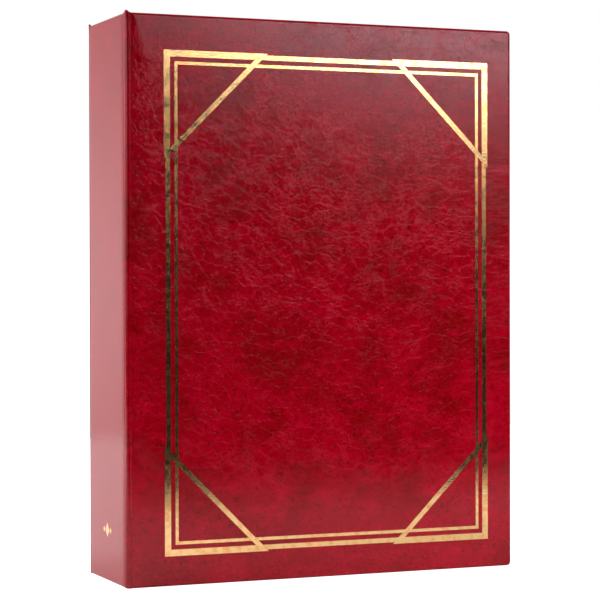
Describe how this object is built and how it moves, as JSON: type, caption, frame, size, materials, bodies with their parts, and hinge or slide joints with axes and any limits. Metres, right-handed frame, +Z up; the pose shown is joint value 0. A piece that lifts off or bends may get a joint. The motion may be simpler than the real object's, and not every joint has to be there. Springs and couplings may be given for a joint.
{
  "type": "stamp album",
  "caption": "Hardbound stock album for stamps: leatherette case with a gold line frame, black card leaves on linen guards, glassine pocket strips and interleaves.",
  "frame": {"origin": "centre of the footprint, on the surface that the album stands on", "axes": "+X from the spine to the fore-edge, +Y from the front cover to the rear cover, +Z up from the foot to the head"},
  "size_m": [0.23, 0.068, 0.305],
  "materials": {
    "leatherette": "semi-gloss grained",
    "greyboard": "matt",
    "gold_foil": "hot-stamped foil",
    "endpaper": "matt",
    "kraft_lining": "matt",
    "linen_guard": "woven",
    "black_card": "matt",
    "glassine": "translucent, smooth"
  },
  "bodies": {
    "spine": {"spine_board": "greyboard", "spine_covering": "leatherette", "spine_lining": "kraft_lining", "binding_guards": "linen_guard", "spine_foil_ornament": "gold_foil"},
    "front_cover": {"front_board": "greyboard", "front_covering": "leatherette", "front_endpaper": "endpaper", "front_foil_frame": "gold_foil"},
    "rear_cover": {"rear_board": "greyboard", "rear_covering": "leatherette", "rear_endpaper": "endpaper"},
    "leaf_01": {"leaf_01_card": "black_card", "leaf_01_glassine": "glassine"},
    "leaf_02": {"leaf_02_card": "black_card", "leaf_02_glassine": "glassine"},
    "leaf_03": {"leaf_03_card": "black_card", "leaf_03_glassine": "glassine"},
    "leaf_04": {"leaf_04_card": "black_card", "leaf_04_glassine": "glassine"},
    "leaf_05": {"leaf_05_card": "black_card", "leaf_05_glassine": "glassine"},
    "leaf_06": {"leaf_06_card": "black_card", "leaf_06_glassine": "glassine"},
    "leaf_07": {"leaf_07_card": "black_card", "leaf_07_glassine": "glassine"},
    "leaf_08": {"leaf_08_card": "black_card", "leaf_08_glassine": "glassine"},
    "leaf_09": {"leaf_09_card": "black_card", "leaf_09_glassine": "glassine"},
    "leaf_10": {"leaf_10_card": "black_card", "leaf_10_glassine": "glassine"},
    "leaf_11": {"leaf_11_card": "black_card", "leaf_11_glassine": "glassine"},
    "leaf_12": {"leaf_12_card": "black_card", "leaf_12_glassine": "glassine"},
    "leaf_13": {"leaf_13_card": "black_card", "leaf_13_glassine": "glassine"},
    "leaf_14": {"leaf_14_card": "black_card", "leaf_14_glassine": "glassine"},
    "leaf_15": {"leaf_15_card": "black_card", "leaf_15_glassine": "glassine"},
    "leaf_16": {"leaf_16_card": "black_card", "leaf_16_glassine": "glassine"},
    "leaf_17": {"leaf_17_card": "black_card", "leaf_17_glassine": "glassine"},
    "leaf_18": {"leaf_18_card": "black_card", "leaf_18_glassine": "glassine"},
    "leaf_19": {"leaf_19_card": "black_card", "leaf_19_glassine": "glassine"},
    "leaf_20": {"leaf_20_card": "black_card", "leaf_20_glassine": "glassine"},
    "leaf_21": {"leaf_21_card": "black_card", "leaf_21_glassine": "glassine"},
    "leaf_22": {"leaf_22_card": "black_card", "leaf_22_glassine": "glassine"},
    "leaf_23": {"leaf_23_card": "black_card", "leaf_23_glassine": "glassine"},
    "leaf_24": {"leaf_24_card": "black_card", "leaf_24_glassine": "glassine"}
  },
  "joints": [
    {"name": "front_cover_hinge", "type": "hinge", "parent": "spine", "child": "front_cover", "pos_m": [-0.11445, -0.03345, 0.1525], "axis": [0, 0, -1], "range_deg": [0, 175]},
    {"name": "rear_cover_hinge", "type": "hinge", "parent": "spine", "child": "rear_cover", "pos_m": [-0.11445, 0.03345, 0.1525], "axis": [0, 0, 1], "range_deg": [0, 175]},
    {"name": "leaf_01_hinge", "type": "hinge", "parent": "spine", "child": "leaf_01", "pos_m": [-0.099, -0.02913, 0.1525], "axis": [0, 0, -1], "range_deg": [0, 70.1]},
    {"name": "leaf_02_hinge", "type": "hinge", "parent": "spine", "child": "leaf_02", "pos_m": [-0.099, -0.0266, 0.1525], "axis": [0, 0, -1], "range_deg": [0, 64]},
    {"name": "leaf_03_hinge", "type": "hinge", "parent": "spine", "child": "leaf_03", "pos_m": [-0.099, -0.02407, 0.1525], "axis": [0, 0, -1], "range_deg": [0, 57.9]},
    {"name": "leaf_04_hinge", "type": "hinge", "parent": "spine", "child": "leaf_04", "pos_m": [-0.099, -0.02153, 0.1525], "axis": [0, 0, -1], "range_deg": [0, 51.8]},
    {"name": "leaf_05_hinge", "type": "hinge", "parent": "spine", "child": "leaf_05", "pos_m": [-0.099, -0.019, 0.1525], "axis": [0, 0, -1], "range_deg": [0, 45.8]},
    {"name": "leaf_06_hinge", "type": "hinge", "parent": "spine", "child": "leaf_06", "pos_m": [-0.099, -0.01647, 0.1525], "axis": [0, 0, -1], "range_deg": [0, 39.7]},
    {"name": "leaf_07_hinge", "type": "hinge", "parent": "spine", "child": "leaf_07", "pos_m": [-0.099, -0.01393, 0.1525], "axis": [0, 0, -1], "range_deg": [0, 33.6]},
    {"name": "leaf_08_hinge", "type": "hinge", "parent": "spine", "child": "leaf_08", "pos_m": [-0.099, -0.0114, 0.1525], "axis": [0, 0, -1], "range_deg": [0, 27.5]},
    {"name": "leaf_09_hinge", "type": "hinge", "parent": "spine", "child": "leaf_09", "pos_m": [-0.099, -0.00887, 0.1525], "axis": [0, 0, -1], "range_deg": [0, 21.4]},
    {"name": "leaf_10_hinge", "type": "hinge", "parent": "spine", "child": "leaf_10", "pos_m": [-0.099, -0.00633, 0.1525], "axis": [0, 0, -1], "range_deg": [0, 15.3]},
    {"name": "leaf_11_hinge", "type": "hinge", "parent": "spine", "child": "leaf_11", "pos_m": [-0.099, -0.0038, 0.1525], "axis": [0, 0, -1], "range_deg": [0, 9.2]},
    {"name": "leaf_12_hinge", "type": "hinge", "parent": "spine", "child": "leaf_12", "pos_m": [-0.099, -0.00127, 0.1525], "axis": [0, 0, -1], "range_deg": [0, 3.1]},
    {"name": "leaf_13_hinge", "type": "hinge", "parent": "spine", "child": "leaf_13", "pos_m": [-0.099, 0.00127, 0.1525], "axis": [0, 0, 1], "range_deg": [0, 3.1]},
    {"name": "leaf_14_hinge", "type": "hinge", "parent": "spine", "child": "leaf_14", "pos_m": [-0.099, 0.0038, 0.1525], "axis": [0, 0, 1], "range_deg": [0, 9.2]},
    {"name": "leaf_15_hinge", "type": "hinge", "parent": "spine", "child": "leaf_15", "pos_m": [-0.099, 0.00633, 0.1525], "axis": [0, 0, 1], "range_deg": [0, 15.3]},
    {"name": "leaf_16_hinge", "type": "hinge", "parent": "spine", "child": "leaf_16", "pos_m": [-0.099, 0.00887, 0.1525], "axis": [0, 0, 1], "range_deg": [0, 21.4]},
    {"name": "leaf_17_hinge", "type": "hinge", "parent": "spine", "child": "leaf_17", "pos_m": [-0.099, 0.0114, 0.1525], "axis": [0, 0, 1], "range_deg": [0, 27.5]},
    {"name": "leaf_18_hinge", "type": "hinge", "parent": "spine", "child": "leaf_18", "pos_m": [-0.099, 0.01393, 0.1525], "axis": [0, 0, 1], "range_deg": [0, 33.6]},
    {"name": "leaf_19_hinge", "type": "hinge", "parent": "spine", "child": "leaf_19", "pos_m": [-0.099, 0.01647, 0.1525], "axis": [0, 0, 1], "range_deg": [0, 39.7]},
    {"name": "leaf_20_hinge", "type": "hinge", "parent": "spine", "child": "leaf_20", "pos_m": [-0.099, 0.019, 0.1525], "axis": [0, 0, 1], "range_deg": [0, 45.8]},
    {"name": "leaf_21_hinge", "type": "hinge", "parent": "spine", "child": "leaf_21", "pos_m": [-0.099, 0.02153, 0.1525], "axis": [0, 0, 1], "range_deg": [0, 51.8]},
    {"name": "leaf_22_hinge", "type": "hinge", "parent": "spine", "child": "leaf_22", "pos_m": [-0.099, 0.02407, 0.1525], "axis": [0, 0, 1], "range_deg": [0, 57.9]},
    {"name": "leaf_23_hinge", "type": "hinge", "parent": "spine", "child": "leaf_23", "pos_m": [-0.099, 0.0266, 0.1525], "axis": [0, 0, 1], "range_deg": [0, 64]},
    {"name": "leaf_24_hinge", "type": "hinge", "parent": "spine", "child": "leaf_24", "pos_m": [-0.099, 0.02913, 0.1525], "axis": [0, 0, 1], "range_deg": [0, 70.1]}
  ],
  "couplings": [
    {"joint": "leaf_01_hinge", "follows": "front_cover_hinge", "ratio": 0.4},
    {"joint": "leaf_02_hinge", "follows": "front_cover_hinge", "ratio": 0.36522},
    {"joint": "leaf_03_hinge", "follows": "front_cover_hinge", "ratio": 0.33043},
    {"joint": "leaf_04_hinge", "follows": "front_cover_hinge", "ratio": 0.29565},
    {"joint": "leaf_05_hinge", "follows": "front_cover_hinge", "ratio": 0.26087},
    {"joint": "leaf_06_hinge", "follows": "front_cover_hinge", "ratio": 0.22609},
    {"joint": "leaf_07_hinge", "follows": "front_cover_hinge", "ratio": 0.1913},
    {"joint": "leaf_08_hinge", "follows": "front_cover_hinge", "ratio": 0.15652},
    {"joint": "leaf_09_hinge", "follows": "front_cover_hinge", "ratio": 0.12174},
    {"joint": "leaf_10_hinge", "follows": "front_cover_hinge", "ratio": 0.08696},
    {"joint": "leaf_11_hinge", "follows": "front_cover_hinge", "ratio": 0.05217},
    {"joint": "leaf_12_hinge", "follows": "front_cover_hinge", "ratio": 0.01739},
    {"joint": "leaf_13_hinge", "follows": "rear_cover_hinge", "ratio": 0.01739},
    {"joint": "leaf_14_hinge", "follows": "rear_cover_hinge", "ratio": 0.05217},
    {"joint": "leaf_15_hinge", "follows": "rear_cover_hinge", "ratio": 0.08696},
    {"joint": "leaf_16_hinge", "follows": "rear_cover_hinge", "ratio": 0.12174},
    {"joint": "leaf_17_hinge", "follows": "rear_cover_hinge", "ratio": 0.15652},
    {"joint": "leaf_18_hinge", "follows": "rear_cover_hinge", "ratio": 0.1913},
    {"joint": "leaf_19_hinge", "follows": "rear_cover_hinge", "ratio": 0.22609},
    {"joint": "leaf_20_hinge", "follows": "rear_cover_hinge", "ratio": 0.26087},
    {"joint": "leaf_21_hinge", "follows": "rear_cover_hinge", "ratio": 0.29565},
    {"joint": "leaf_22_hinge", "follows": "rear_cover_hinge", "ratio": 0.33043},
    {"joint": "leaf_23_hinge", "follows": "rear_cover_hinge", "ratio": 0.36522},
    {"joint": "leaf_24_hinge", "follows": "rear_cover_hinge", "ratio": 0.4}
  ]
}
